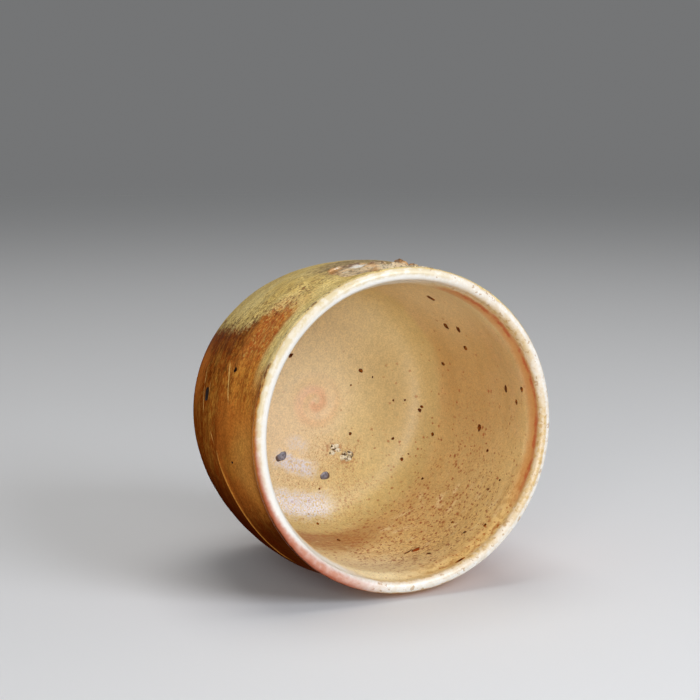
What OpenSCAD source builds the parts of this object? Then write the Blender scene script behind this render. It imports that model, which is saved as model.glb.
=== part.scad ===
// Hand-thrown yunomi tea cup: a thrown and turned clay body on a luted foot ring, glazed in
// three coats that meet edge to edge, with lumps of fly ash on one shoulder and stones and
// slag drops fired into the floor. Millimetres. +Z is the axis, out of the mouth, and the
// origin is the centre of the foot's resting face.

/* [Outside of the cup] */
// Height from the table to the top of the lip
cup_h = 70; // [60:0.5:84]
// Diameter over the lip
lip_d = 84; // [80:0.5:90]
// Diameter at the waist, the narrowing just under the lip
waist_d = 81.6; // [76:0.2:84]
// Drop from the top of the lip to the waist
waist_drop = 6.4; // [5.6:0.2:9]
// Diameter at the belly, the widest part of the wall
belly_d = 85; // [80:0.5:92]
// Drop from the top of the lip to the belly
belly_drop = 23; // [18:0.5:28]
// Diameter at the hip, where the wall turns in towards the foot
hip_d = 71; // [64:0.5:78]
// Height of the hip above the table
hip_z = 11.2; // [9.5:0.2:15]

/* [Wall and floor] */
// Thickness of the rounded lip
lip_t = 3.2; // [2.6:0.1:4.4]
// Thickness of the wall at the waist, coats included
neck_t = 3.4; // [2.8:0.1:4.4]
// Thickness of the wall at the belly, coats included
belly_t = 3.8; // [3:0.1:5]
// Thickness of the wall where the bowl starts to turn into the floor
base_t = 4.2; // [3.2:0.1:6]
// Thickness of the floor at its centre, from the foot's root to the glazed face
floor_t = 6.4; // [5:0.1:9]
// Height over which the inside wall turns into the floor
bowl_h = 13; // [10:0.5:17]
// Radius of the level middle of the floor
level_r = 17; // [12:0.5:20]

/* [Throwing marks] */
// Height of the finger ridges on the outside wall
ridge_out = 0.1; // [0.05:0.01:0.3]
// Height of the finger ridges on the inside wall
ridge_in = 0.08; // [0.05:0.01:0.3]
// Distance from one finger ridge to the next
ridge_pitch = 6.5; // [5:0.5:10]
// Height of the swirl that the finger leaves in the middle of the floor
swirl_h = 0.35; // [0.1:0.05:0.6]
// Distance from crest to crest across the swirl
swirl_pitch = 5; // [4:0.5:8]
// Radius at which the swirl has died out
swirl_r = 13.5; // [9:0.5:15]

/* [Foot] */
// Diameter of the foot ring at the table
foot_d = 48; // [42:0.5:54]
// Height of the foot ring
foot_h = 6; // [5:0.2:8]
// Width of the foot ring at the table
foot_w = 4.6; // [3.6:0.1:6]
// Spread of the ring from the table up to its root, on each face
foot_spread = 0.8; // [0.2:0.1:1.4]
// Rounding of the ring's two lower edges
foot_round = 0.9; // [0.3:0.1:1.4]
// Height of the turned point under the floor, inside the ring
point_h = 1.1; // [0.4:0.1:1.6]
// Radius of the turned point
point_r = 9; // [6:0.5:13]

/* [Glaze coats] */
// Thickness of the liner coat, inside
liner_t = 0.45; // [0.3:0.05:0.7]
// Thickness of the ash glaze, outside
outer_t = 0.4; // [0.3:0.05:0.7]
// Thickness of the white coat over the lip
lip_glaze_t = 0.55; // [0.3:0.05:0.8]
// Drop from the top of the lip to the white coat's edge, outside
lip_drop_out = 2.4; // [2.3:0.1:5]
// Drop from the top of the lip to the white coat's edge, inside
lip_drop_in = 4.6; // [2.6:0.1:5]
// Height above the table of the ash glaze's lower edge
glaze_line = 8.6; // [7.8:0.1:9.4]

/* [Ash crust] */
// Direction of the thick ash patch around the axis
thick_angle = 172; // [150:1:185]
// Drop from the top of the lip to the middle of the thick patch
thick_drop = 9.6; // [9:0.2:14]
// Width of the thick patch along the wall
thick_w = 15; // [10:0.5:18]
// Extent of the thick patch down the wall
thick_len = 9; // [6:0.5:10]
// Greatest height of the thick patch
thick_h = 1.4; // [0.4:0.1:1.8]
// Direction of the thin ash patch around the axis
thin_angle = 196; // [194:1:225]
// Drop from the top of the lip to the middle of the thin patch
thin_drop = 14; // [12:0.2:18]
// Width of the thin patch along the wall
thin_w = 14; // [8:0.5:15]
// Extent of the thin patch down the wall
thin_len = 12; // [8:0.5:13]
// Greatest height of the thin patch
thin_h = 0.7; // [0.3:0.1:1.2]
// Direction of the bead of ash under the lip
bead_angle = 147; // [120:1:148]
// Drop from the top of the lip to the middle of the bead
bead_drop = 3.4; // [3.2:0.1:6]
// Width of the bead, both ways
bead_w = 2.2; // [1:0.1:2.4]
// Height of the bead
bead_h = 0.7; // [0.2:0.1:1]
// Distance from lump to lump in the ash
lump_pitch = 4.4; // [3:0.2:7]

/* [Stones and drops] */
// Width of a stone
stone_d = 2.6; // [1.6:0.1:3.6]
// Height of a stone over the glaze
stone_rise = 0.55; // [0.2:0.05:0.9]
// Width of a slag drop
drop_d = 2.4; // [1.4:0.1:3.4]
// Height of a slag drop over the glaze
drop_rise = 0.3; // [0.15:0.05:0.7]
// Depth to which stones and drops are sunk in the liner coat
sink = 0.25; // [0.1:0.05:0.28]
// Direction of the first stone around the axis
first_stone_angle = 27; // [16:1:30]
// Distance of the first stone from the axis
first_stone_r = 15; // [6:0.5:16]
// Direction of the second stone around the axis
second_stone_angle = 35; // [32:1:90]
// Distance of the second stone from the axis
second_stone_r = 19; // [16:0.5:24]
// Direction of the first slag drop around the axis
first_drop_angle = 328; // [270:1:345]
// Distance of the first slag drop from the axis
first_drop_r = 17.5; // [6:0.5:24]
// Direction of the second slag drop around the axis
second_drop_angle = 11; // [0:1:14]
// Distance of the second slag drop from the axis
second_drop_r = 21; // [18:0.5:24]

/* [Hidden] */
$fn = 96;

// Stones and slag drops as [direction around the axis, distance from the axis]
stones = [[first_stone_angle, first_stone_r], [second_stone_angle, second_stone_r]];
drops = [[first_drop_angle, first_drop_r], [second_drop_angle, second_drop_r]];

// Shares of a span's length that shape its curve at the lower and upper end
foot_pull = [0.5, 0.4];
flank_pull = [0.165, 0.33];
shoulder_pull = [0.4, 0.4];
bowl_pull = [0.6, 0.6];
span_steps = 26;
lip_steps = 14;
round_steps = 6;

// Clearance between the lumps of ash and the glaze they lie on
crust_seat = 0.05;
crust_rings = 8;
crust_sides = 44;
// Waves in the outline of an ash patch, as [waves around it, depth, start angle]
ragged_waves = [[3, 0.12, 25], [5, 0.08, 140]];
// Mean height of the ash and the swing of its lumps, as shares of the patch's height
ash_mean = 0.62;
ash_swing = [0.24, 0.14];

lip_r = lip_d / 2;
waist_r = waist_d / 2;
belly_r = belly_d / 2;
lip_z = cup_h - lip_t / 2;
waist_z = cup_h - waist_drop;
belly_z = cup_h - belly_drop;
floor_z = foot_h + floor_t;
bowl_z = floor_z + bowl_h;
root_r = foot_d / 2 + foot_spread;
foot_in_r = foot_d / 2 - foot_w;
foot_in_top = foot_in_r - foot_spread;
UP = [0, 1];
DOWN = [0, -1];
OUT = [1, 0];
IN = [-1, 0];
// Lean of the wall at the hip, outwards and up
HIP_LEAN = [0.48, 0.88];

// Outline helpers. An outline is a list of [radius, height].

// Point at share s of a cubic curve that leaves a along da and reaches b along db
function curve_point(a, da, b, db, pull, s) =
    let (reach = norm(b - a), c = a + da * pull[0] * reach, d = b - db * pull[1] * reach, q = 1 - s)
    a * q ^ 3 + c * 3 * q ^ 2 * s + d * 3 * q * s ^ 2 + b * s ^ 3;

// The curve as points, without its first one, which the span before it has
function span(a, da, b, db, pull) =
    [for (i = [1:span_steps]) curve_point(a, da, b, db, pull, i / span_steps)];

// Part of a circle about centre, from one angle to another
function arc(centre, r, from, to, steps) =
    [for (i = [0:steps]) let (t = from + (to - from) * i / steps) centre + r * [cos(t), sin(t)]];

// 0 below a, 1 above b, and a smooth step between them
function fade(x, a, b) = let (s = min(max((x - a) / (b - a), 0), 1)) s * s * (3 - 2 * s);

// Right-hand normals of an outline. The last point lies on the axis, so its normal is straight up.
function normals(path) =
    let (last = len(path) - 1)
    [for (i = [0:last])
        let (along = path[min(i + 1, last)] - path[max(i - 1, 0)])
        i == last ? UP : [along[1], -along[0]] / norm(along)];

// Finger ridges follow the height on the walls, and rings about the axis on the floor.
function outer_ridge(p) =
    ridge_out * sin(360 * p[1] / ridge_pitch) * fade(p[1], hip_z, hip_z + ridge_pitch)
    * (1 - fade(p[1], waist_z - ridge_pitch, waist_z));
function inner_ridge(p) =
    ridge_in * sin(360 * p[1] / ridge_pitch) * fade(p[1], floor_z, bowl_z)
    * (1 - fade(p[1], waist_z - ridge_pitch, waist_z))
    + swirl_h * cos(360 * p[0] / swirl_pitch) * (1 - fade(p[0], swirl_pitch / 2, swirl_r))
    * (1 - fade(p[1], floor_z + swirl_h, bowl_z));

// The finished surface of the cup, in three stretches: up the outside, over the lip, and down
// the inside to the middle of the floor.
root = [root_r, foot_h];
hip = [hip_d / 2, hip_z];
belly = [belly_r, belly_z];
waist = [waist_r, waist_z];
lip_out = [lip_r, lip_z];
outer_line = concat([root], span(root, OUT, hip, HIP_LEAN, foot_pull),
    span(hip, HIP_LEAN, belly, UP, flank_pull), span(belly, UP, waist, UP, shoulder_pull),
    span(waist, UP, lip_out, UP, shoulder_pull));

// Radius of a line of rising points at a height
function radius_at(line, z) = lookup(z, [for (p = line) [p[1], p[0]]]);

lip_mid = [lip_r - lip_t / 2, lip_z];
lip_arc = arc(lip_mid, lip_t / 2, 0, 180, lip_steps);
lip_line = [for (i = [1:lip_steps - 1]) lip_arc[i]];

lip_in = [lip_r - lip_t, lip_z];
waist_in = [waist_r - neck_t, waist_z];
belly_in = [belly_r - belly_t, belly_z];
bowl_in = [radius_at(outer_line, bowl_z) - base_t, bowl_z];
level_in = [level_r, floor_z];
flank_lean = (bowl_in - belly_in) / norm(bowl_in - belly_in);
inner_line = concat([lip_in], span(lip_in, DOWN, waist_in, DOWN, shoulder_pull),
    span(waist_in, DOWN, belly_in, DOWN, shoulder_pull),
    span(belly_in, DOWN, bowl_in, flank_lean, shoulder_pull),
    span(bowl_in, flank_lean, level_in, IN, bowl_pull),
    span(level_in, IN, [0, floor_z], IN, shoulder_pull));

// The whole surface with its ridges, as rows of [radius, height, normal radius, normal height]
smooth_line = concat(outer_line, lip_line, inner_line);
smooth_normals = normals(smooth_line);
outer_count = len(outer_line);
inner_start = outer_count + len(lip_line);
axis_row = len(smooth_line) - 1;
skin_line = [for (i = [0:axis_row])
    let (p = smooth_line[i])
    let (lift = i < outer_count ? outer_ridge(p) : i < inner_start ? 0 : inner_ridge(p))
    p + smooth_normals[i] * lift];
skin_normals = normals(skin_line);
skin = [for (i = [0:axis_row]) concat(skin_line[i], skin_normals[i])];
outer_skin = [for (i = [0:outer_count - 1]) skin[i]];
lip_skin = [for (i = [outer_count:inner_start - 1]) skin[i]];
inner_skin = [for (i = [inner_start:axis_row]) skin[i]];

// One row of a skin, worked out at a height or at a radius
function row_at(rows, key, value) =
    [for (k = [0:3]) lookup(value, [for (row = rows) [row[key], row[k]]])];
function at_height(rows, z) = row_at(rows, 1, z);

// The skin pushed in along its normals to the depth of a coat
function under(rows, depth) = [for (row = rows) [row[0] - depth * row[2], row[1] - depth * row[3]]];
function backwards(list) = [for (i = [len(list) - 1:-1:0]) list[i]];

// Stretches of the skin: bare clay, ash glaze, white lip and liner
lip_edge_out = at_height(outer_skin, cup_h - lip_drop_out);
lip_edge_in = at_height(inner_skin, cup_h - lip_drop_in);
glaze_edge = at_height(outer_skin, glaze_line);
bare_rows = concat([for (row = outer_skin) if (row[1] < glaze_line) row], [glaze_edge]);
outer_rows = concat([glaze_edge],
    [for (row = outer_skin) if (row[1] > glaze_line && row[1] < cup_h - lip_drop_out) row],
    [lip_edge_out]);
lip_rows = concat([lip_edge_out],
    [for (row = outer_skin) if (row[1] > cup_h - lip_drop_out) row], lip_skin,
    [for (row = inner_skin) if (row[1] > cup_h - lip_drop_in) row], [lip_edge_in]);
liner_rows = concat([lip_edge_in], [for (row = inner_skin) if (row[1] < cup_h - lip_drop_in) row]);

// A coat is the solid between a stretch of the skin and the clay under it.
module coat(rows, depth) {
    rotate_extrude()
        polygon(concat(under(rows, 0), backwards(under(rows, depth))));
}

// Turned face under the floor, from the point on the axis out to the foot ring
function point_line() =
    [for (i = [0:span_steps])
        let (r = point_r * i / span_steps)
        [r, foot_h - point_h * (1 - fade(r, 0, point_r))]];

module clay_body() {
    color("#b0764a")
        rotate_extrude()
            polygon(concat(point_line(), under(bare_rows, 0), under(outer_rows, outer_t),
                under(lip_rows, lip_glaze_t), under(liner_rows, liner_t)));
}

module foot_ring() {
    inner_corner = [foot_in_r + foot_round, foot_round];
    outer_corner = [foot_d / 2 - foot_round, foot_round];
    color("#9c6238")
        rotate_extrude()
            polygon(concat(arc(inner_corner, foot_round, 180, 270, round_steps),
                arc(outer_corner, foot_round, 270, 360, round_steps),
                [root, [foot_in_top, foot_h]]));
}

// Stones and drops are round-edged lenses, as high as rise above the glaze and as deep as sink.
module lens(d, rise, depth) {
    top_r = (d * d / 4 + rise * rise) / (2 * rise);
    low_r = (d * d / 4 + depth * depth) / (2 * depth);
    intersection() {
        translate([0, 0, rise - top_r])
            sphere(top_r);
        translate([0, 0, low_r - depth])
            sphere(low_r);
    }
}

// Places its children on the floor's glaze, square to it, at a direction and a distance
floor_rows = [for (row = inner_skin) if (row[1] < bowl_z) row];
module on_floor(place) {
    row = row_at(floor_rows, 0, place[1]);
    rotate([0, 0, place[0]])
        translate([row[0], 0, row[1]])
            rotate([0, atan2(row[2], row[3]), 0])
                children();
}

module stone_lenses() {
    for (place = stones)
        on_floor(place)
            lens(stone_d, stone_rise, sink);
}

module drop_lenses() {
    for (place = drops)
        on_floor(place)
            lens(drop_d, drop_rise, sink);
}

module liner_glaze() {
    color("#d3b27a")
        difference() {
            coat(liner_rows, liner_t);
            stone_lenses();
            drop_lenses();
        }
}

module lip_glaze() {
    color("#f0e7d2")
        coat(lip_rows, lip_glaze_t);
}

module outer_glaze() {
    color("#a86a33")
        coat(outer_rows, outer_t);
}

// Outline of an ash patch as a share of its half width, at an angle around its middle
function ragged(t) =
    let (w = ragged_waves)
    1 + w[0][1] * sin(w[0][0] * t + w[0][2]) + w[1][1] * sin(w[1][0] * t + w[1][2]);

// Height of the ash at a place on the patch, where share is 0 in its middle and 1 on its edge
function ash_height(x, y, share, top) =
    let (turn = 360 / lump_pitch)
    let (round_lumps = sin(turn * x) * sin(turn * y), cross_lumps = sin(1.5 * turn * (x + y)))
    top * (1 - share * share) * (ash_mean + ash_swing[0] * round_lumps + ash_swing[1] * cross_lumps);

// A patch of ash is a lumpy skin over the wall and a plain one on it, closed along a ragged edge.
module ash_patch(angle, drop, width, length, top) {
    middle_z = cup_h - drop;
    middle_r = radius_at(outer_skin, middle_z);
    rings = [for (k = [0:crust_rings]) k / crust_rings];
    sides = [for (i = [0:crust_sides - 1]) 360 * i / crust_sides];
    function place(share, t, face) =
        let (x = share * ragged(t) * cos(t) * width / 2, y = share * ragged(t) * sin(t) * length / 2)
        let (z = middle_z + y, a = angle + x / middle_r * 180 / PI)
        let (r = radius_at(outer_skin, z) + crust_seat + face * ash_height(x, y, share, top))
        [r * cos(a), r * sin(a), z];
    top_points = [for (share = rings) for (t = sides) place(share, t, 1)];
    low_points = [for (share = rings) for (t = sides) place(share, t, 0)];
    low_start = len(top_points);
    function at(k, i) = k * crust_sides + i % crust_sides;
    // The first ring is one point, so its band has one triangle a side.
    function band(start) =
        [for (k = [0:crust_rings - 1]) for (i = [0:crust_sides - 1])
            each concat(
                k == 0 ? [] : [[start + at(k, i), start + at(k + 1, i + 1), start + at(k, i + 1)]],
                [[start + at(k, k == 0 ? 0 : i), start + at(k + 1, i), start + at(k + 1, i + 1)]])];
    // The lower skin faces the wall and shares the upper skin's edge.
    edge = crust_rings * crust_sides;
    function shared(p) = p >= low_start + edge ? p - low_start : p;
    upper = [for (f = band(0)) [f[2], f[1], f[0]]];
    lower = [for (f = band(low_start)) [shared(f[0]), shared(f[1]), shared(f[2])]];
    polyhedron(concat(top_points, low_points), concat(upper, lower));
}

module ash_crust() {
    color("#7a5a38") {
        ash_patch(thick_angle, thick_drop, thick_w, thick_len, thick_h);
        ash_patch(thin_angle, thin_drop, thin_w, thin_len, thin_h);
        ash_patch(bead_angle, bead_drop, bead_w, bead_w, bead_h);
    }
}

module stone_chips() {
    color("#e6dcc0")
        stone_lenses();
}

module slag_drops() {
    color("#5c5a60")
        drop_lenses();
}

clay_body();
foot_ring();
liner_glaze();
lip_glaze();
outer_glaze();
ash_crust();
stone_chips();
slag_drops();
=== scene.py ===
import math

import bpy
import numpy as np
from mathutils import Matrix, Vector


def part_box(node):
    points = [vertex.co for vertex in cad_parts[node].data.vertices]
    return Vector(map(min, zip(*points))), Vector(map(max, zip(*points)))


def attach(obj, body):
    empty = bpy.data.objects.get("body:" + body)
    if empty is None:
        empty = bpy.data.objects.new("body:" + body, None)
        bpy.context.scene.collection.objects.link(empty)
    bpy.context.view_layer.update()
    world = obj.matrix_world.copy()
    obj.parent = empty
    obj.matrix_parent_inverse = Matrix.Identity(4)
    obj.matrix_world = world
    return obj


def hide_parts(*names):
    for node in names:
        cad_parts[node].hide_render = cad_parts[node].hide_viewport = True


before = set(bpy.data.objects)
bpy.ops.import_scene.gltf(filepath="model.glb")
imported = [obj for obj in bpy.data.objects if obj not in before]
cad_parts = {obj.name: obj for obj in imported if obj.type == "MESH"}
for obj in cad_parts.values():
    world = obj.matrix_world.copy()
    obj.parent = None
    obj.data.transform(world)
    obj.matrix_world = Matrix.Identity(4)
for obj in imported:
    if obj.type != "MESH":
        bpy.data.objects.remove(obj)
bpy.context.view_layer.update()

# %% [markdown]
# # A wood-fired tea cup
# The cup is a thrown pot with three coats of glaze, a turned foot, lumps of fly ash on one
# shoulder, and stones, drops and specks of iron that the kiln left in the glaze. The built part
# gives the sizes. This lesson dresses it: every piece is a surface worked out with numpy, and
# every finish is made of shader nodes. The cup stays upright on its axis, and the camera and the
# studio are turned round it, so that the picture shows it lying on its side.

MM = 0.001


def node_box(node):
    """Lowest and highest corner of a built node, in millimetres."""
    return [np.array(corner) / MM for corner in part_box(node)]


def show(name, data):
    """A new object in the scene, at the origin."""
    made = bpy.data.objects.new(name, data)
    bpy.context.scene.collection.objects.link(made)
    return made


print("built nodes:", sorted(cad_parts))

# %% [markdown]
# ## Camera
# A mouth seen at an angle is an ellipse. Its middle, its size and its lean fix where the lens
# stood, so the camera is worked out from these few values and not moved by eye. The first axes
# are the camera's own: right, up, and back towards the lens.

# %% Camera
PHOTO_SIDE = 700
FOCAL_PIXELS = 2031
MOUTH_PIXEL = (408.5, 431.9)
LENS_TO_MOUTH = 514.3
MOUTH_TILT = math.radians(26.16)
MOUTH_TURN = math.radians(-13.8)
SENSOR_MM = 36

cup_h = node_box("lip_glaze")[1][2]
tilt_side = np.array([math.cos(MOUTH_TURN), math.sin(MOUTH_TURN)]) * math.sin(MOUTH_TILT)
cup_z = np.array([*tilt_side, math.cos(MOUTH_TILT)])
cup_y = np.cross([0, 1, 0], cup_z)
cup_y /= np.linalg.norm(cup_y)
cup_x = np.cross(cup_y, cup_z)
lens_axes = np.stack([cup_x, cup_y, cup_z])
sideways = (np.array(MOUTH_PIXEL) - PHOTO_SIDE / 2) / FOCAL_PIXELS
mouth_from_lens = LENS_TO_MOUTH * np.array([sideways[0], -sideways[1], -1])
lens_place = np.array([0, 0, cup_h]) - lens_axes @ mouth_from_lens

camera_data = bpy.data.cameras.new("camera")
camera_data.sensor_width = SENSOR_MM
camera_data.lens = FOCAL_PIXELS * SENSOR_MM / PHOTO_SIDE
camera = show("camera", camera_data)
camera.matrix_world = Matrix.LocRotScale(Vector(lens_place * MM), Matrix(lens_axes.tolist()), None)
bpy.context.scene.camera = camera
print("lens at", lens_place.round(1), "mm, focal length", round(camera_data.lens, 2), "mm")

# %% [markdown]
# ## The outline
# A thrown pot is one line turned round an axis. The line runs up the outside from the foot,
# over the lip and down the inside to the middle of the floor. A few points and the directions
# of the wall there are enough, with a cubic curve from each to the next. Everything later asks
# one question of it: what lies at a given distance along the wall from the crest of the lip?
# That distance is negative outside and positive inside.

# %% Curves for the outline


def span(start, leave, end, arrive, pull, steps=80):
    """Cubic curve from start to end: start q^3 + 3 first q^2 s + 3 second q s^2 + end s^3, with
    q = 1 - s. The inner points lie along the directions at the ends, at pull shares of the gap."""
    start, leave, end, arrive = (np.array(v, float) for v in (start, leave, end, arrive))
    reach = np.linalg.norm(end - start)
    first, second = start + leave * pull[0] * reach, end - arrive * pull[1] * reach
    s = np.linspace(0, 1, steps + 1)[1:, None]
    q = 1 - s
    return start * q ** 3 + 3 * first * q ** 2 * s + 3 * second * q * s ** 2 + end * s ** 3


def chain(start, *legs):
    """Points of several spans, end to end. A leg is (end, direction there, pulls)."""
    points, (here, heading) = [[start[0]]], start
    for end, arrive, pull in legs:
        points.append(span(here, heading, end, arrive, pull))
        here, heading = end, arrive
    return np.vstack(points)


def lengths(points):
    """Distance of each point from the first, along the line through them."""
    return np.concatenate([[0], np.cumsum(np.linalg.norm(np.diff(points, axis=0), axis=1))])


# %% Outline of the cup, in millimetres
WAIST_R, WAIST_DROP = 40.8, 6.4
BELLY_R, BELLY_DROP = 42.5, 23.0
HIP_R, HIP_Z = 35.5, 11.2
HIP_LEAN = (0.48, 0.88)
LIP_T, NECK_T, BELLY_T, BASE_T = 3.2, 3.4, 3.8, 4.2
FLOOR_T, BOWL_H, LEVEL_R = 6.4, 13.0, 17.0
UP, DOWN, OUT, IN = (0, 1), (0, -1), (1, 0), (-1, 0)
EVEN = (0.4, 0.4)

lip_r = node_box("lip_glaze")[1][0]
foot_h = node_box("foot_ring")[1][2]
root_r = node_box("foot_ring")[1][0]
lip_z = cup_h - LIP_T / 2
waist_z, belly_z = cup_h - WAIST_DROP, cup_h - BELLY_DROP
floor_z = foot_h + FLOOR_T
bowl_z = floor_z + BOWL_H

outside = chain(((root_r, foot_h), OUT), ((HIP_R, HIP_Z), HIP_LEAN, (0.5, 0.4)),
                ((BELLY_R, belly_z), UP, (0.165, 0.33)), ((WAIST_R, waist_z), UP, EVEN),
                ((lip_r, lip_z), UP, EVEN))
lip_turn = np.linspace(0, math.pi, 60)[1:-1]
lip_round = np.stack([lip_r - LIP_T / 2 + LIP_T / 2 * np.cos(lip_turn),
                      lip_z + LIP_T / 2 * np.sin(lip_turn)], -1)
belly_in = np.array([BELLY_R - BELLY_T, belly_z])
bowl_in = np.array([np.interp(bowl_z, outside[:, 1], outside[:, 0]) - BASE_T, bowl_z])
flank = (bowl_in - belly_in) / np.linalg.norm(bowl_in - belly_in)
inside = chain(((lip_r - LIP_T, lip_z), DOWN), ((WAIST_R - NECK_T, waist_z), DOWN, EVEN),
               (belly_in, DOWN, EVEN), (bowl_in, flank, EVEN),
               ((LEVEL_R, floor_z), IN, (0.6, 0.6)), ((0, floor_z), IN, EVEN))
line = np.vstack([outside, lip_round, inside])
run = lengths(line)
run -= np.interp(len(outside) + len(lip_round) / 2, np.arange(len(line)), run)
along = np.gradient(line, axis=0)
along /= np.linalg.norm(along, axis=1)[:, None]
ROOT_D, AXIS_D = run[0], run[-1]
outside_d = run[:len(outside)]
inside_d = run[-len(inside):]


def skin(d):
    """Radius, height and outward normal of the outline at distances d from the crest."""
    tables = (line[:, 0], line[:, 1], along[:, 1], -along[:, 0])
    return [np.interp(d, run, table) for table in tables]


def out_at(z):
    """Distance from the crest of the outside wall at a height."""
    return np.interp(z, outside[:, 1], outside_d)


def in_at(z):
    """Distance from the crest of the inside wall at a height."""
    return np.interp(-np.asarray(z), -inside[:, 1], inside_d)


print(f"wall: {-ROOT_D:.1f} mm outside, {AXIS_D:.1f} mm inside")

# %% [markdown]
# ## Marks of the hand
# No thrown cup is a true round. Fingers leave a slow spiral of ridges up the wall and a swirl on
# the floor, and lifting the soft pot off the wheel bends the lip a little. A modifier could add
# noise to each piece, but then the coats would part. Here one function gives each point of the
# cup, marks included, and every piece asks it, so that all of them stay seated on one another.

# %% Throwing marks
RIDGE_OUT, RIDGE_IN, RIDGE_PITCH = 0.12, 0.05, 6.5
SWIRL_H, SWIRL_PITCH, SWIRL_R = 0.2, 5.0, 13.5
# The finger's last ridge climbs the wall and levels out: its height is low + climb t - level t^2,
# with t in degrees from its start, and it fades in and out over its ends
RIDGE_START, RIDGE_SPAN, RIDGE_ENDS = 272, 62, 14
RIDGE_LOW, RIDGE_CLIMB, RIDGE_LEVEL = 42.3, 0.32, 0.0028
LAST_RIDGE_H, LAST_RIDGE_W = 0.35, 0.8
# The white pooled thicker inside the lip on one side: its depth, the angle where it is thickest,
# and the distances from the crest over which it grows and dies away
SWELL_T, SWELL_ANGLE = 0.25, 240
SWELL_GROWS, SWELL_DIES = (0.2, 1.8), (4, 11)


def fade(x, low, high):
    """0 below low, 1 above high, and a smooth step 3 s^2 - 2 s^3 between them."""
    s = np.clip((x - low) / (high - low), 0, 1)
    return s * s * (3 - 2 * s)


def throwing_marks(d, r, z, psi):
    """Height of the marks: sin(2 pi z / pitch - angle) on the walls, which climbs one pitch in a
    turn; cos(2 pi r / pitch - angle) on the floor; a round-backed ridge on its own line; and the
    swell inside the lip."""
    climb = np.sin(2 * math.pi * z / RIDGE_PITCH - psi) * (0.7 + 0.3 * np.sin(2 * psi + z / 9))
    below_lip = 1 - fade(z, waist_z - RIDGE_PITCH, waist_z)
    outer = RIDGE_OUT * climb * fade(z, HIP_Z, HIP_Z + RIDGE_PITCH) * below_lip
    turn = np.degrees(psi) % 360 - RIDGE_START
    window = fade(turn, 0, RIDGE_ENDS) * (1 - fade(turn, RIDGE_SPAN - RIDGE_ENDS, RIDGE_SPAN))
    ridge_z = RIDGE_LOW + RIDGE_CLIMB * turn - RIDGE_LEVEL * turn ** 2
    outer = outer + LAST_RIDGE_H * window * np.exp(-((z - ridge_z) / LAST_RIDGE_W) ** 2)
    swell = SWELL_T * fade(np.cos(psi - math.radians(SWELL_ANGLE)), 0.1, 0.8)
    swell = swell * fade(d, *SWELL_GROWS) * (1 - fade(d, *SWELL_DIES))
    inner = RIDGE_IN * climb * fade(z, floor_z, bowl_z) * below_lip + swell
    off_centre = fade(r, 0, SWIRL_PITCH / 2)
    ring = 2 * math.pi * r / SWIRL_PITCH
    swirl = (1 - off_centre) * np.cos(ring) + off_centre * np.cos(ring - psi)
    dying = (1 - fade(r, SWIRL_PITCH / 2, SWIRL_R)) * (1 - fade(z, floor_z + 1, bowl_z))
    return np.where(d < 0, outer, inner + SWIRL_H * swirl * dying)


print("ridges", RIDGE_OUT, "and", RIDGE_IN, "mm, swirl", SWIRL_H, "mm")

# %% Gentle bends
# Bends of the wall and waves of the lip as (waves round the cup, depth in millimetres, angle of
# a crest), and the share of the wall's bends that the lip keeps
WALL_BENDS = ((2, 0.12, 88), (3, 0.22, 4), (4, 0.24, 40))
LIP_WAVES = ((2, 0.16, 60), (3, 0.14, 200), (7, 0.05, 20))
LIP_SHARE = 0.4
LIP_WAVES_FROM = waist_z - 10


def waves(psi, rows):
    """Sum of depth * cos(count * (angle - crest))."""
    return sum(depth * np.cos(count * (psi - math.radians(crest))) for count, depth, crest in rows)


def ring_point(r, z, psi):
    """Points at a radius, a height and an angle: (r cos, r sin, z), in metres."""
    return np.stack([r * np.cos(psi), r * np.sin(psi), z + 0 * psi], -1) * MM


def bend(r, z, psi):
    """The point at radius r and height z, pressed out of round by the wall's bends, which grow
    from the foot up to the belly and of which the lip keeps a share, and lifted by the lip's
    waves, which start under the waist."""
    kept = fade(z, HIP_Z, belly_z) * (1 - (1 - LIP_SHARE) * fade(z, belly_z, lip_z))
    r = r * (1 + waves(psi, WALL_BENDS) / BELLY_R * kept)
    return ring_point(r, z + waves(psi, LIP_WAVES) * fade(z, LIP_WAVES_FROM, cup_h), psi)


def cup_point(d, psi, sunk=0.0):
    """Point of the cup at distance d from the crest and angle psi, sunk below the glazed face."""
    r, z, out, up = skin(d)
    lift = throwing_marks(d, r, z, psi) - sunk
    return bend(r + out * lift, z + up * lift, psi)


print("bends of the wall up to", sum(depth for _, depth, _ in WALL_BENDS), "mm")

# %% [markdown]
# ## From grid to mesh
# A closed shell is a grid whose columns run round the cup. Its rows either close into a ring, as
# in a coat, or start and end on one point, as in a lump. Quads come from shifting the grid of
# point numbers by one, so there is no loop over vertices. The sign of the volume says whether
# the faces look outwards, and turns them if they don't.

# %% Mesh helpers
COLUMNS = 432
ROUND = np.linspace(0, 2 * math.pi, COLUMNS, endpoint=False)[None, :]
SHARP = math.radians(50)


def shell(grid, poles=False):
    """Points and faces of the closed shell over grid[row, column]. With poles, the first and the
    last row are one point each; otherwise the last row joins the first."""
    rows, columns = grid.shape[:2]
    number = np.arange(rows * columns).reshape(rows, columns)
    if poles:
        number[0], number[-1] = number[0, 0], number[-1, 0]
    used, number = np.unique(number, return_inverse=True)
    number = number.reshape(rows, columns)
    points = grid.reshape(-1, 3)[used]
    above = np.roll(number, -1, axis=0)
    quads = np.stack([number, np.roll(number, -1, 1), np.roll(above, -1, 1), above], -1)
    if not poles:
        parts = [quads.reshape(-1, 4)]
    else:
        parts = [quads[0][:, [0, 2, 3]], quads[1:-2].reshape(-1, 4), quads[-2][:, [0, 1, 2]]]
    corners = np.concatenate([part[:, :3] for part in parts])
    a, b, c = (points[corners[:, k]] for k in range(3))
    if np.einsum("ij,ij->i", a, np.cross(b, c)).sum() < 0:
        parts = [part[:, ::-1] for part in parts]
    return points, parts


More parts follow.
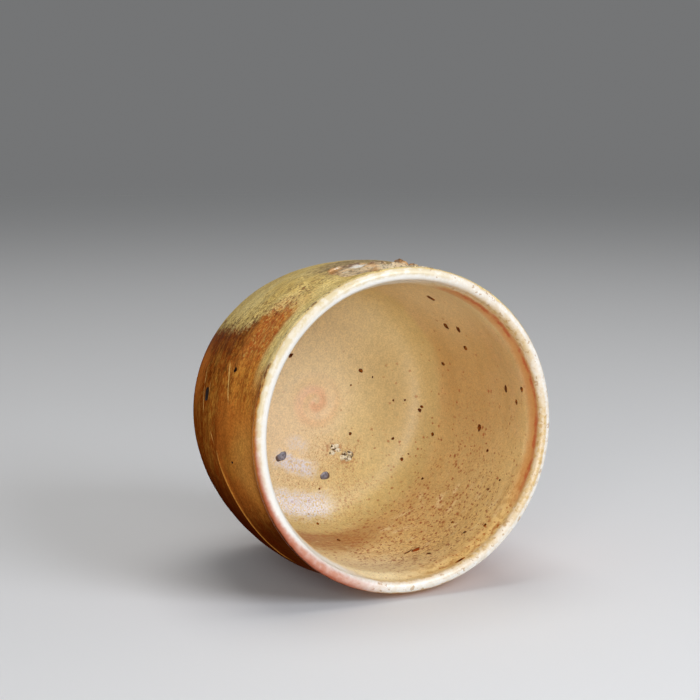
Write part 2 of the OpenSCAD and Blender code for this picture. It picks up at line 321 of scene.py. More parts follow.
def make_piece(name, shells, slot, *nodes):
    """One object from closed shells, smooth but for its sharp edges, in place of built nodes."""
    points = np.concatenate([shell_points for shell_points, _ in shells])
    starts = np.cumsum([0] + [len(shell_points) for shell_points, _ in shells[:-1]])
    faces = [face for start, (_, parts) in zip(starts, shells)
             for part in parts for face in (part + start).tolist()]
    mesh = bpy.data.meshes.new(name)
    mesh.from_pydata(points.tolist(), [], faces)
    mesh.shade_smooth()
    mesh.set_sharp_from_angle(angle=SHARP)
    piece = show(name, mesh)
    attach(piece, "root")
    if nodes:
        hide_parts(*nodes)
    mesh.calc_loop_triangles()
    print(f"{name}: {len(mesh.loop_triangles)} triangles in {len(shells)} closed shells")
    return piece


# %% [markdown]
# ## Glaze coats
# A glaze is a skin of glass, about half a millimetre thick, fused to the clay. Each coat is a
# closed strip of the cup: its shining face, then the same stretch again at the depth of the
# coat. The three meet edge to edge. Outside, the glaze stops short of the foot in a rolled,
# uneven edge, where it was wiped before firing.

# %% Liner, white lip and ash glaze
LINER_T, OUTER_T, LIP_COAT_T = 0.45, 0.4, 0.55
HIDDEN_ROWS = 24
LINER_ROWS, LIP_ROWS, ASH_ROWS = 190, 40, 150
ROLL_W = 1.1
EDGE_WAVES = ((2, 0.35, 30), (5, 0.25, 100), (9, 0.12, 10))

glaze_d = out_at(node_box("outer_glaze")[0][2]) + waves(ROUND, EDGE_WAVES)
lip_out_d = out_at(node_box("outer_glaze")[1][2])
lip_in_d = in_at(node_box("liner_glaze")[1][2])


def stretch(low, high, rows):
    """Distances from low to high in even rows, where low may change with the angle."""
    share = np.linspace(0, 1, rows)[:, None]
    return low + (high - low) * share + 0 * ROUND


def rolled_edge(d):
    """How far the ash glaze's face sinks near its lower edge: depth * (1 - sqrt(1 - (1 - x)^2)),
    a quarter round, where x runs from 0 on the edge to 1 at the roll's width."""
    x = np.clip((d - glaze_d) / ROLL_W, 0, 1)
    return OUTER_T * (1 - np.sqrt(1 - (1 - x) ** 2))


def under_coats():
    """Rows of the clay's own face under the three coats, from the glaze line to the axis."""
    return [cup_point(stretch(glaze_d, lip_out_d, HIDDEN_ROWS), ROUND, OUTER_T),
            cup_point(stretch(lip_out_d, lip_in_d, HIDDEN_ROWS), ROUND, LIP_COAT_T),
            cup_point(stretch(lip_in_d, AXIS_D, HIDDEN_ROWS), ROUND, LINER_T)]


ash_back, lip_back, liner_back = under_coats()
liner_face = cup_point(stretch(lip_in_d, AXIS_D, LINER_ROWS), ROUND)
lip_face = cup_point(stretch(lip_out_d, lip_in_d, LIP_ROWS), ROUND)
ash_d = stretch(glaze_d, lip_out_d, ASH_ROWS)
ash_face = cup_point(ash_d, ROUND, rolled_edge(ash_d))

liner = make_piece("liner_coat", [shell(np.concatenate([liner_face[::-1], liner_back]), poles=True)],
                   "liner_glaze", "liner_glaze")
lip = make_piece("lip_coat", [shell(np.concatenate([lip_face, lip_back[::-1]]))],
                 "white_lip_glaze", "lip_glaze")
ash_coat = make_piece("ash_coat", [shell(np.concatenate([ash_face, ash_back[::-1]]))],
                      "ash_glaze", "outer_glaze")

# %% [markdown]
# ## Clay body and foot
# The clay shows only round the foot, where the potter left it bare. Turning the foot on the wheel
# cut a shallow spiral into the underside and fine rings into the foot's faces, and left a small
# point in the middle. The resting face stays flat.

# %% Clay body
POINT_H, POINT_R = 1.1, 9.0
CUT_H, CUT_PITCH = 0.07, 2.2
FOOT_R, FOOT_W = 24.0, 4.6
UNDER_ROWS, BARE_ROWS = 60, 26

under_r = np.linspace(0, root_r, UNDER_ROWS)[:, None] + 0 * ROUND
cut = CUT_H * np.sin(2 * math.pi * under_r / CUT_PITCH - ROUND)
cut = cut * fade(under_r, 1, 4) * (1 - fade(under_r, FOOT_R - FOOT_W - 3, FOOT_R - FOOT_W - 1))
under_z = foot_h - POINT_H * (1 - fade(under_r, 0, POINT_R)) + cut
bare_d = stretch(ROOT_D, glaze_d, BARE_ROWS)
bare = cup_point(bare_d, ROUND, OUTER_T * fade(bare_d, ROOT_D, glaze_d))
clay_rows = np.concatenate([ring_point(under_r, under_z, ROUND), bare[1:], *under_coats()])
clay = make_piece("thrown_body", [shell(clay_rows, poles=True)], "fired_clay", "clay_body")

# %% Foot ring
FOOT_ROUND, FOOT_SPREAD = 0.9, 0.8
FOOT_CUT_H, FOOT_CUT_PITCH = 0.05, 1.1
FOOT_ROWS = 90
SEAT = 0.03


def foot_section(rows):
    """Points round the foot ring's section: down its inner face, round two edges, and up."""
    corner = np.linspace(0, math.pi / 2, 12)
    arc_in = np.stack([FOOT_R - FOOT_W + FOOT_ROUND * (1 - np.cos(corner)),
                       FOOT_ROUND * (1 - np.sin(corner))], -1)
    arc_out = np.stack([FOOT_R - FOOT_ROUND * (1 - np.sin(corner)),
                        FOOT_ROUND * (1 - np.cos(corner))], -1)
    top = foot_h - SEAT
    corners = np.vstack([[FOOT_R - FOOT_W - FOOT_SPREAD, top], arc_in, arc_out, [root_r, top]])
    distance = lengths(corners)
    even = np.linspace(0, distance[-1], rows)
    return [np.interp(even, distance, corners[:, k])[:, None] + 0 * ROUND for k in range(2)]


foot_x, foot_z = foot_section(FOOT_ROWS)
side = np.where(foot_x > FOOT_R - FOOT_W / 2, 1, -1)
turned = FOOT_CUT_H * np.sin(2 * math.pi * foot_z / FOOT_CUT_PITCH - ROUND)
turned = turned * fade(foot_z, FOOT_ROUND, 2 * FOOT_ROUND) * (1 - fade(foot_z, foot_h - 1, foot_h - 0.4))
foot = make_piece("turned_foot", [shell(ring_point(foot_x + side * turned, foot_z, ROUND))],
                  "bare_foot_clay", "foot_ring")

# %% [markdown]
# ## Lumps, stones, drops and specks
# Fly ash fell on one shoulder and fused into a crust. Stones in the clay came through the floor,
# and iron bled out as drops and specks. All of them are the same thing to a modeller: a ragged
# disc laid on the wall, higher in its middle, and closed by a second skin just under the glaze.
# Sculpting each would take hours, so one function makes them from a place, a size and a roughness.

# %% Lumps laid on the wall


def speckle(x, y, seed):
    """Noise from 0 to 1: a random value on each whole point, and smooth steps between them."""
    x0, y0 = np.floor(x), np.floor(y)
    u, v = fade(x - x0, 0, 1), fade(y - y0, 0, 1)

    def at(i, j):
        """A value that looks random: the tail of a large sine."""
        return (np.sin((x0 + i) * 127.1 + (y0 + j) * 311.7 + seed * 74.7) * 43758.5453) % 1

    return (at(0, 0) * (1 - u) + at(1, 0) * u) * (1 - v) + (at(0, 1) * (1 - u) + at(1, 1) * u) * v


def lump(angle, d, wide, long, rise, sink, seed, rough=0.3, grain=1.0, lean=0.0, rings=7, sides=28):
    """A ragged disc on the wall at an angle in degrees and a distance from the crest. With share
    running from 0 in its middle to 1 on its edge, its face rises by rise * sqrt(1 - share^2),
    roughened by noise, and its back lies sink * (1 - share^2) below the glaze."""
    t = np.linspace(0, 2 * math.pi, sides, endpoint=False)[None, :]
    share = np.sin(np.linspace(0, math.pi / 2, rings))
    share = np.concatenate([share, share[-2::-1]])[:, None]
    front = (np.arange(len(share)) < rings)[:, None]
    edge = 0.72 + 0.56 * speckle(1.5 * np.cos(t) + 9, 1.5 * np.sin(t) + 9, seed)
    x = share * edge * np.cos(t) * wide / 2
    y = share * edge * np.sin(t) * long / 2
    bumps = 0.65 * speckle(x * grain + 40, y * grain + 40, seed)
    bumps = bumps + 0.35 * speckle(x * grain * 2.3, y * grain * 2.3 + 80, seed)
    height = np.where(front, rise * np.sqrt(1 - share ** 2) * (1 + rough * (2 * bumps - 1)),
                      -sink * (1 - share ** 2))
    tilt = math.radians(lean)
    across = x * math.cos(tilt) - y * math.sin(tilt)
    down = x * math.sin(tilt) + y * math.cos(tilt)
    radius = skin(np.array(d))[0]
    return shell(cup_point(d + down, math.radians(angle) + across / radius, -height), poles=True)


# %% Ash crust
# Fused patches, then runs and beads on them, as (angle, height, width, length up the wall, rise)
CRUST = ((172, 60.4, 15.0, 9.0, 0.8), (194, 56.0, 12.0, 10.0, 0.25), (147, 66.6, 2.2, 2.2, 0.7),
         (151, 65.8, 4.0, 1.8, 0.9), (155, 64.6, 5.0, 2.4, 1.2), (160, 63.4, 6.0, 2.8, 1.5),
         (166, 61.6, 8.0, 2.8, 1.6), (172, 59.6, 8.0, 2.4, 1.4), (177, 62.0, 6.0, 1.8, 1.1),
         (179, 57.4, 7.0, 2.2, 1.2), (168, 57.4, 6.0, 2.0, 1.1), (185, 58.6, 6.0, 1.6, 0.8),
         (187, 55.6, 7.0, 2.2, 0.7), (193, 58.0, 4.5, 1.6, 0.6), (197, 54.6, 6.0, 1.8, 0.6),
         (192, 52.4, 6.0, 1.6, 0.6), (184, 53.0, 6.0, 1.8, 0.7), (199, 51.6, 5.0, 1.2, 0.5),
         (174, 52.4, 4.5, 2.6, 1.3), (169, 53.2, 3.6, 2.4, 1.1), (164, 55.6, 4.0, 2.4, 1.0))
CRUST_SINK, CRUST_ROUGH, CRUST_GRAIN = 0.1, 0.45, 0.9
crust = make_piece("ash_lumps", [
    lump(angle, out_at(height), wide, long, rise, CRUST_SINK, seed, CRUST_ROUGH, CRUST_GRAIN,
         rings=22, sides=72)
    for seed, (angle, height, wide, long, rise) in enumerate(CRUST)], "ash_crust", "ash_crust")

# %% Stones and slag drops on the floor
# Stones as (angle, distance from the axis), and drops with their width, length and lean
STONES = ((27, 15.0), (35, 19.0))
DROPS = ((328, 17.5, 2.5, 3.6, -13), (11, 21.0, 2.9, 2.2, 0))
# Grains of each stone as (shift across, shift down the floor, width, length, rise, lean)
GRAINS = (((-1.0, -0.5, 1.9, 1.5, 0.6, 20), (0.8, -0.6, 1.6, 1.2, 0.45, -30),
           (-0.1, 0.8, 1.8, 1.6, 0.5, 0), (1.1, 0.7, 1.1, 1.5, 0.35, 40)),
          ((-1.1, 0.7, 2.0, 1.6, 0.55, -20), (0.1, -0.3, 1.8, 2.5, 0.6, 35),
           (1.3, 0.3, 1.5, 2.1, 0.45, 30), (-0.3, 1.5, 1.5, 1.1, 0.4, 0)))
STONE_SEED, DROP_SEED, SPECK_SEED = 20, 30, 50
SINK, DROP_RISE = 0.25, 0.22


def floor_d(r):
    """Distance from the crest of the place on the floor at a distance from the axis."""
    low = inside[:, 1] < bowl_z
    return np.interp(-r, -inside[low, 0], inside_d[low])


def stone(angle, r, grains, seed):
    """Closed lumps of one stone, one for each of its grains."""
    return [lump(angle + math.degrees(across / r), floor_d(r) + down, wide, long, rise, SINK, seed + k,
                 0.5, 1.6, lean, rings=14, sides=40)
            for k, (across, down, wide, long, rise, lean) in enumerate(grains)]


stones = make_piece("floor_stones", [
    grain for k, (angle, r) in enumerate(STONES)
    for grain in stone(angle, r, GRAINS[k], STONE_SEED + len(GRAINS[0]) * k)],
    "feldspar_stone", "stone_chips")
drops = make_piece("iron_drops", [
    lump(angle, floor_d(r), wide, long, DROP_RISE, SINK, DROP_SEED + k, 0.2, 0.9, lean, rings=14, sides=48)
    for k, (angle, r, wide, long, lean) in enumerate(DROPS)], "iron_slag", "slag_drops")

# %% Iron specks
# Specks as (angle, distance from the crest, width, length, lean); outside ones are negative
SPECKS = (
    (24, 24.0, 3.0, 2.2, 12), (21, 25.0, 3.0, 0.9, 14), (24, 16.0, 1.0, 2.2, 0), (40, 13.0, 0.9, 1.5, 10),
    (46, 7.0, 1.0, 1.0, 0), (61, 17.5, 0.8, 1.4, 0), (66, 13.5, 0.6, 1.0, 0), (43, 24.0, 0.9, 1.2, 0),
    (76, 26.0, 0.9, 1.2, 0), (84, 32.0, 1.9, 1.6, 0), (99, 11.5, 1.4, 1.6, -30), (103, 18.0, 2.0, 1.9, -20),
    (105, 7.5, 1.5, 1.2, -20), (118, 34.5, 1.5, 1.3, 0), (127, 33.5, 2.2, 1.2, -15),
    (129, 38.0, 2.0, 1.4, -10), (146, 33.0, 2.6, 1.5, 20), (110, 47.0, 1.0, 1.4, 0),
    (76, 51.5, 1.1, 1.4, 0), (55, 47.5, 0.8, 1.0, 0), (59, 58.0, 1.0, 1.0, 0), (63, 57.0, 0.5, 0.6, 0),
    (86, 57.5, 1.2, 1.0, 30), (88, 57.0, 0.8, 1.0, -30), (91, 62.0, 0.6, 0.6, 0), (91, 65.5, 0.6, 0.6, 0),
    (67, 63.0, 0.9, 0.8, 0), (112, 71.0, 0.6, 0.5, 0), (1, 55.0, 0.9, 1.1, 0), (6, 65.5, 0.6, 0.6, 0),
    (3, 43.5, 0.9, 1.6, 0), (211, 74.5, 1.6, 1.0, 0), (52, 75.5, 1.0, 0.9, 0), (262, -36.8, 3.8, 2.8, 12),
    (251, -20.0, 1.4, 1.5, -20), (283, -18.0, 0.6, 0.8, 0), (123, 73.5, 1.4, 1.1, 20),
    (114, 78.0, 0.5, 0.5, 0), (28, 3.3, 3.0, 0.8, 0))
SPECK_RISE, SPECK_SINK = 0.09, 0.12
specks = make_piece("iron_specks", [
    lump(*speck[:4], SPECK_RISE, SPECK_SINK, SPECK_SEED + k, lean=speck[4])
    for k, speck in enumerate(SPECKS)], "iron_slag")

# %% [markdown]
# ## Node shorthand
# A finish is a formula: how much of which colour lies where. Written as nodes by hand, each sum
# takes four lines. So the output of a node is wrapped as a field, and a sum or a product of
# fields adds the node for it. A graph gives the other kinds of node short names. A value may
# always be a number, a colour or a field. In the cells below, g is the graph in hand.

# %% Colours and fields


def paint(code):
    """Linear colour of a web colour code, by the usual curve for screens."""
    screen = np.array([int(code[k:k + 2], 16) / 255 for k in (1, 3, 5)])
    linear = np.where(screen <= 0.04045, screen / 12.92, ((screen + 0.055) / 1.055) ** 2.4)
    return (*linear.tolist(), 1.0)


class Field:
    """A value, colour or vector that changes over the surface: the output of a node. Two fields
    multiplied are on where both are, and a | b is the greater of the two."""

    def __init__(self, graph, socket):
        self.graph, self.socket = graph, socket

    def __add__(self, other):
        return self.graph.calc("ADD", self, other)

    def __sub__(self, other):
        return self.graph.calc("SUBTRACT", self, other)

    def __rsub__(self, other):
        return self.graph.calc("SUBTRACT", other, self)

    def __mul__(self, other):
        return self.graph.calc("MULTIPLY", self, other)

    def __truediv__(self, other):
        return self.graph.calc("DIVIDE", self, other)

    def __or__(self, other):
        return self.graph.calc("MAXIMUM", self, other)

    def __abs__(self):
        return self.graph.calc("ABSOLUTE", self)

    __radd__, __rmul__ = __add__, __mul__


# %% Graphs
# Blots thin out where their mask is off, and have an edge of this softness
BLOT_THIN, BLOT_EDGE = 0.3, 0.06


class Graph:
    """Adds nodes to one tree. Its spot is the place, in millimetres, that noise and patches read."""

    def __init__(self, tree):
        self.tree = tree

    def add(self, kind, **settings):
        node = self.tree.nodes.new("ShaderNode" + kind)
        for key, value in settings.items():
            setattr(node, key, value)
        return node

    def feed(self, socket, value):
        if isinstance(value, Field):
            self.tree.links.new(value.socket, socket)
        else:
            socket.default_value = value

    def fill(self, node, values, output=0):
        """Feeds a node's inputs, by number or name, and returns one of its outputs."""
        for key, value in values.items():
            self.feed(node.inputs[key], value)
        return Field(self, node.outputs[output])

    def calc(self, operation, *values):
        return self.fill(self.add("Math", operation=operation), dict(enumerate(values)))

    def vector(self, operation, *values):
        output = "Value" if operation == "LENGTH" else "Vector"
        return self.fill(self.add("VectorMath", operation=operation), dict(enumerate(values)), output)

    def split(self, kind, value):
        """The parts of a vector, with kind XYZ, or of a colour, with kind Color."""
        node = self.add("Separate" + kind)
        self.feed(node.inputs[0], value)
        return [Field(self, socket) for socket in node.outputs]

    def step(self, value, low, high):
        """Smooth step from 0 at low to 1 at high; it falls where low is above high."""
        node = self.add("MapRange", interpolation_type="SMOOTHSTEP")
        return self.fill(node, {0: value, 1: low, 2: high})

    def between(self, value, low, high, soft):
        """1 where the value lies from low to high, with soft ends."""
        return self.step(value, low - soft, low + soft) * self.step(value, high + soft, high - soft)

    def most(self, masks):
        """The greatest of several masks."""
        greatest, *others = masks
        for mask in others:
            greatest = greatest | mask
        return greatest

    def mix(self, share, under, over, blend="MIX"):
        node = self.add("Mix", data_type="RGBA", blend_type=blend)
        return self.fill(node, {0: share, 6: under, 7: over}, 2)

    def shade(self, share, first, second):
        """From one colour code to another."""
        return self.mix(share, paint(first), paint(second))

    def lay(self, colour, *layers):
        """Lays layers over a colour, each as (where, how strong, colour code)."""
        for where, strength, code in layers:
            colour = self.mix(where * strength, colour, paint(code))
        return colour

    def millimetres(self):
        """Object coordinates in millimetres."""
        place = Field(self, self.add("TexCoord").outputs["Object"])
        return self.vector("MULTIPLY", place, (1 / MM,) * 3)

    def moved(self, *shift):
        """The spot, moved to where other noise lies."""
        return self.vector("ADD", self.spot, shift)

    def squeezed(self, across, up, spot=None):
        """A spot, squeezed across and upwards, which stretches the noise there."""
        return self.vector("MULTIPLY", spot or self.spot, (across, across, up))

    def noise(self, grain, detail=2.0, rough=0.5, spot=None, output=0):
        """Noise from 0 to 1 with so many grains a millimetre."""
        values = {"Vector": spot or self.spot, "Scale": grain, "Detail": detail, "Roughness": rough}
        return self.fill(self.add("TexNoise"), values, output)

    def shaken(self, value, grain, size):
        """The value, shifted here and there by noise of the given size."""
        return value + (self.noise(grain, 5.0, 0.65) - 0.5) * size

    def grainy(self, colour, grain, depth):
        """The colour, lighter and darker by depth from grain to grain."""
        light = self.step(self.noise(grain, 3.0, 0.6), 0.3, 0.7) * (2 * depth) + (1 - depth)
        return self.mix(1.0, colour, light, "MULTIPLY")

    def blots(self, grain, rare, where, longer=1.0, spot=None):
        """Irregular blots where noise climbs over rare, and hardly any where the mask is 0. Above
        1, longer stretches them round the cup, and below 1 up the wall."""
        noise = self.noise(grain, 3.0, 0.55, self.squeezed(1 / longer, longer, spot))
        return self.step(noise - (1 - where) * BLOT_THIN, rare, rare + BLOT_EDGE)

    def use(self, group, **values):
        """Places a shared effect. Underscores in the names of its inputs stand for spaces."""
        node = self.add("Group", node_tree=group)
        for key, value in values.items():
            self.feed(node.inputs[key.replace("_", " ")], value)
        return {socket.name: Field(self, socket) for socket in node.outputs}

    def close(self, **results):
        """Ends a shared effect: feeds its outputs and returns its tree."""
        outputs = self.tree.nodes.new("NodeGroupOutput").inputs
        for label, value in results.items():
            self.feed(outputs[label], value)
        print(f"{self.tree.name}: {len(self.tree.nodes)} nodes")
        return self.tree


# %% [markdown]
# ## Shared effects
# Where a point lies on the cup, ragged patches, dots of iron, lines that drift up the wall and the
# skin of a glaze turn up in more than one finish. Each is a node group, built once. They read
# Object coordinates in millimetres, so that a pattern runs on unbroken from coat to coat.

# %% Where a point lies
# Sockets that are no plain number
KINDS = {"Colour": "Color", "Spot": "Vector", "Middle": "Vector", "Half size": "Vector"}


def effect(name, inputs, outputs):
    """The graph of a shared effect: a node group with named inputs, of which the first is its
    spot, and named outputs."""
    tree = bpy.data.node_groups.new(name, "ShaderNodeTree")
    for way, labels in (("INPUT", inputs), ("OUTPUT", outputs)):
        for label in labels:
            kind = "NodeSocket" + KINDS.get(label, "Float")
            tree.interface.new_socket(label, in_out=way, socket_type=kind)
    graph = Graph(tree)
    if inputs:
        sockets = tree.nodes.new("NodeGroupInput").outputs
        graph.given = [Field(graph, sockets[label]) for label in inputs]
        graph.spot = graph.given[0]
    return graph


g = effect("cup_place", (), ("Spot", "Height", "Reach", "Angle", "Turn"))
spot = g.millimetres()
x, y, z = g.split("XYZ", spot)
backwards = g.calc("ARCTAN2", y * -1, x * -1)
cup_place = g.close(Spot=spot, Height=z, Reach=g.calc("SQRT", x * x + y * y),
                    Angle=g.calc("DEGREES", g.calc("ARCTAN2", y, x)),
                    Turn=g.calc("DEGREES", backwards) + 180)


def place(graph, *names):
    """Sets the graph's spot, and returns what is asked of where a point lies: its height, its
    reach from the axis, its angle from -180 to 180 degrees, or its turn from 0 to 360."""
    here = graph.use(cup_place)
    graph.spot = here["Spot"]
    return [here[name] for name in names]


# %% Ragged patches and drifting lines
g = effect("ragged_patch", ("Spot", "Middle", "Half size", "Ragged", "Grain", "Soft"), ("Mask",))
spot, middle, half_size, ragged, grain, soft = g.given
away = g.vector("LENGTH", g.vector("DIVIDE", g.vector("SUBTRACT", spot, middle), half_size))
away = away + (g.noise(grain, 4.0, 0.6) - 0.5) * ragged
ragged_patch = g.close(Mask=g.step(away, 1 + soft, 1 - soft))


def patch(graph, angle, reach, height, half_wide, half_tall, ragged, grain, soft):
    """A ragged patch round the place at an angle, a distance from the axis and a height."""
    turn = math.radians(angle)
    middle = (reach * math.cos(turn), reach * math.sin(turn), height)
    return graph.use(ragged_patch, Spot=graph.spot, Middle=middle, Ragged=ragged, Grain=grain, Soft=soft,
                     Half_size=(half_wide, half_wide, half_tall))["Mask"]


LINE_WOBBLE, LINE_BROKEN, LINE_ENDS = 0.9, 0.55, 4
LINE_INPUTS = ("Spot", "Turn", "Height", "Start", "Start height", "Climb", "Span", "Half width")
g = effect("drifting_line", LINE_INPUTS, ("Mask",))
spot, turn, height, start, start_height, climb, length, half_width = g.given
past = turn - start
drift = (g.noise(0.25, 3.0) - 0.5) * LINE_WOBBLE
body = g.step(abs(height - (start_height + past * climb) + drift) / half_width, 1.0, 0.2)
ends = g.step(past, 0, LINE_ENDS) * g.step(length - past, 0, LINE_ENDS)
gaps = g.step(g.noise(0.3, 5.0, 0.7), LINE_BROKEN, LINE_BROKEN - 0.25)
drifting_line = g.close(Mask=body * ends * (1 - gaps))

# %% Dots of iron and the skin of a glaze
# How far the cells' edges are shaken, the least size of a dot as a share of the half width asked
# for, and the share of a dot that is full before its edge softens
CELL_SHAKE, LEAST_DOT, DOT_CORE = 0.7, 0.45, 0.45
g = effect("iron_dots", ("Spot", "Grain", "Dot", "Share"), ("Mask",))
spot, grain, half_width, share = g.given
shake = g.vector("SUBTRACT", g.noise(1.7, 1.0, output=1), (0.5,) * 3)
cell_spot = g.vector("ADD", spot, g.vector("MULTIPLY", shake, (CELL_SHAKE,) * 3))
cells = g.add("TexVoronoi")
distance = g.fill(cells, {"Vector": cell_spot, "Scale": grain}, "Distance")
chance, size_chance = g.split("Color", Field(g, cells.outputs["Color"]))[:2]
size = half_width * (LEAST_DOT + size_chance)
dot = g.step(distance, size, size * DOT_CORE)
iron_dots = g.close(Mask=dot * g.calc("LESS_THAN", chance, share))


def dots(graph, grain, half_width, share):
    """Round dots in a share of the cells, with so many cells a millimetre."""
    return graph.use(iron_dots, Spot=graph.spot, Grain=grain, Dot=half_width, Share=share)["Mask"]


g = effect("glaze_skin", ("Spot", "Peel", "Pits"), ("Height",))
spot, peel, pits = g.given
glaze_skin = g.close(Height=g.noise(1.1, 3.0, 0.55) * peel - dots(g, 0.55, 0.14, 0.5) * pits)


def peeled(graph, peel, pits):
    """Height of a glaze's skin, with its orange peel and its pits."""
    return graph.use(glaze_skin, Spot=graph.spot, Peel=peel, Pits=pits)["Height"]


# %% [markdown]
# ## Colour of the inside
# The liner is a thin cream-yellow glaze. It is tan on the wall, paler where it pooled on the
# floor, pink where the clay shows through round the swirl, and freckled by iron on the side that
# lay lowest in the kiln. It is a group, because the lip's finish needs it too. Angles, heights
# and distances are those of the cup, in degrees and millimetres.

# %% Liner: wall and floor
g = effect("liner_colour", (), ("Colour", "Iron", "Shine"))
height, reach, angle = place(g, "Height", "Reach", "Angle")
cloud = g.noise(0.07, 4.0, 0.6)
drift = g.noise(0.11, 3.0, spot=g.moved(70, 0, 0))
rings = g.noise(1.3, 4.0, 0.6, g.squeezed(0.1, 1.0))
# Painted shade: the wall is darker deep down on the side turned away from the lamps
deep_wall_shade = g.between(height, 22, 44, 6) * g.step(abs(angle - 100), 100, 40)
# Painted shade in the corner where the floor meets the lower wall; freckles gather there too
corner_shade_band = patch(g, 354, 37, 28, 18, 8, 0.6, 0.12, 0.5)
wall = g.lay(
    g.shade(g.step(cloud, 0.35, 0.65), "#d9b67a", "#e2c690"),
    (g.step(drift, 0.45, 0.7), 0.5, "#e0b68c"),
    (g.step(rings, 0.5, 0.7), 0.25, "#cda468"),
    # Painted light: the next two paler patches lie on the wall turned up to the lamps, the second a painted
    # sheen
    (patch(g, 30, 38, 54, 32, 22, 0.5, 0.08, 0.6), 0.85, "#f3d692"),
    (patch(g, 352, 38, 54, 18, 20, 0.5, 0.08, 0.6), 0.85, "#f6e4b8"),
    (deep_wall_shade, 0.8, "#c8a262"),
    (corner_shade_band, 0.8, "#ae8048"),
    (patch(g, 60, 38, 33, 18, 20, 0.4, 0.1, 0.6), 0.5, "#d8be86"),
    (patch(g, 108, 38, 40, 20, 26, 0.4, 0.1, 0.6), 0.5, "#b8905a"),
    (patch(g, 166, 38, 40, 22, 30, 0.4, 0.08, 0.6), 0.8, "#e6d2a8"))
curl = g.shaken(reach, 0.3, 1.5) * (2 * math.pi / SWIRL_PITCH) - g.calc("RADIANS", angle)
curl = (0.3 + g.step(g.calc("SINE", curl), -0.9, 1.0) * 0.45) * g.step(reach, 10, 1)
bottom = g.lay(
    g.shade(g.step(cloud, 0.3, 0.7), "#d2ba7c", "#dcc68c"),
    (patch(g, 265, 16, 12, 22, 14, 0.5, 0.1, 0.8), 0.85, "#efd6b2"),
    (patch(g, 190, 20, 12, 22, 14, 0.4, 0.1, 0.7), 0.8, "#efdbae"),
    (curl, 1.0, "#ecb692"),
    (g.step(reach, 10, 26) * g.between(angle, 55, 128, 26), 0.75, "#cab07a"))
colour = g.mix(g.step(g.shaken(height, 0.07, 9), 24, 19), wall, bottom)
colour = g.grainy(g.grainy(colour, 0.5, 0.05), 2.2, 0.12)

# %% Liner: pale clouds, brown by the lip, glossy places and a painted sheen
low_side = g.between(height, 27, 67, 2) * g.between(angle, -25, 62, 8)
pale = g.noise(0.32, 3.0, spot=g.squeezed(0.7, 1.3, g.moved(0, 0, 25)))
by_lip = g.between(height, 62.5, 69, 2.5) * g.between(angle, 6, 76, 10)
streaks = g.noise(0.9, 4.0, 0.6, g.squeezed(0.55, 1.1))
wash = g.noise(0.45, 5.0, 0.7, g.squeezed(0.5, 1.2))
thick = patch(g, 28, 38, 42, 26, 22, 0.8, 0.12, 0.6)
uneven_reach = g.shaken(reach, 0.35, 5)
# Glossy places of the floor, which also get a painted sheen, as (nearest, farthest, softness,
# first angle, last angle, strength)
SHINING = ((10.5, 14.5, 1.2, -36, -8, 0.5), (16.5, 20.5, 1.2, -36, 2, 1.0), (26, 32, 1.5, -26, 10, 1.0))
shine = g.most(g.between(uneven_reach, near, far, soft) * g.between(angle, first, last, 8) * strength
               for near, far, soft, first, last, strength in SHINING)
# Painted sheen: pale lilac grains laid on the glossy places
painted_sheen = shine * g.step(g.noise(2.3, 3.0, 0.6), 0.38, 0.58)
colour = g.lay(
    colour,
    (low_side * g.step(pale, 0.56, 0.7), 0.65, "#f0deb0"),
    (by_lip, 0.5, "#c89e5c"),
    (by_lip * g.step(streaks, 0.45, 0.62), 0.5, "#a8722c"),
    # Painted sheen: the pale patch that follows
    (patch(g, 357, 38, 51, 11, 8, 0.5, 0.15, 0.5), 0.75, "#faecc8"),
    (thick * g.step(wash, 0.44, 0.66), 0.35, "#bf8436"),
    (painted_sheen, 0.8, "#e4e6fa"))

# %% Liner: iron freckles, and stains with painted shadow round the stones
freckled = patch(g, 34, 38, 46, 36, 34, 0.7, 0.08, 0.6)
wide = patch(g, 58, 38, 38, 44, 34, 0.6, 0.1, 0.6)
sandy = patch(g, 5, 24, 14, 22, 13, 0.9, 0.12, 0.6) * (1 - shine)
# Kinds of freckle as (where, cells a millimetre, rarity, strength, length round the cup)
FRECKLES = ((freckled, 1.5, 0.58, 0.35, 0.9), (thick, 1.0, 0.57, 0.6, 0.9), (freckled, 0.8, 0.6, 0.85, 0.9),
            (wide, 1.3, 0.6, 0.35, 0.9), (sandy, 2.4, 0.55, 0.42, 0.9), (sandy, 1.4, 0.58, 0.5, 1.0),
            (corner_shade_band, 1.0, 0.49, 0.55, 1.5), (0.6, 1.2, 0.56, 0.35, 0.8))
# Round dots as (where, cells a millimetre, half width in cells, share of cells with one, strength)
DOTS = ((thick, 0.7, 0.36, 0.55, 1.0), (freckled, 1.0, 0.33, 0.45, 0.95), (wide, 0.55, 0.24, 0.3, 0.9))
edge_line = g.between(g.shaken(height, 0.5, 1.4), 66.7, 67.3, 0.3) * g.between(angle, 15, 60, 5)
edge_line = edge_line * g.step(g.noise(0.3, 3.0), 0.48, 0.6) * 0.65
# Brown blots round the stones: iron stain with a painted contact shadow
stain_and_shade_by_stones = [patch(g, stone_angle, stone_r, floor_z, 3.4, 2.5, 0.8, 0.5, 0.5)
             for stone_angle, stone_r in STONES]
iron = g.most([
    *(g.blots(grain, rare, where, longer) * strength for where, grain, rare, strength, longer in FRECKLES),
    *(dots(g, grain, half, share) * where * strength for where, grain, half, share, strength in DOTS),
    edge_line,
    *(g.blots(0.8, 0.5, near) * 0.55 for near in stain_and_shade_by_stones)])
liner_colour = g.close(Colour=g.lay(colour, (iron, 1.0, "#a65202")), Iron=iron, Shine=shine)
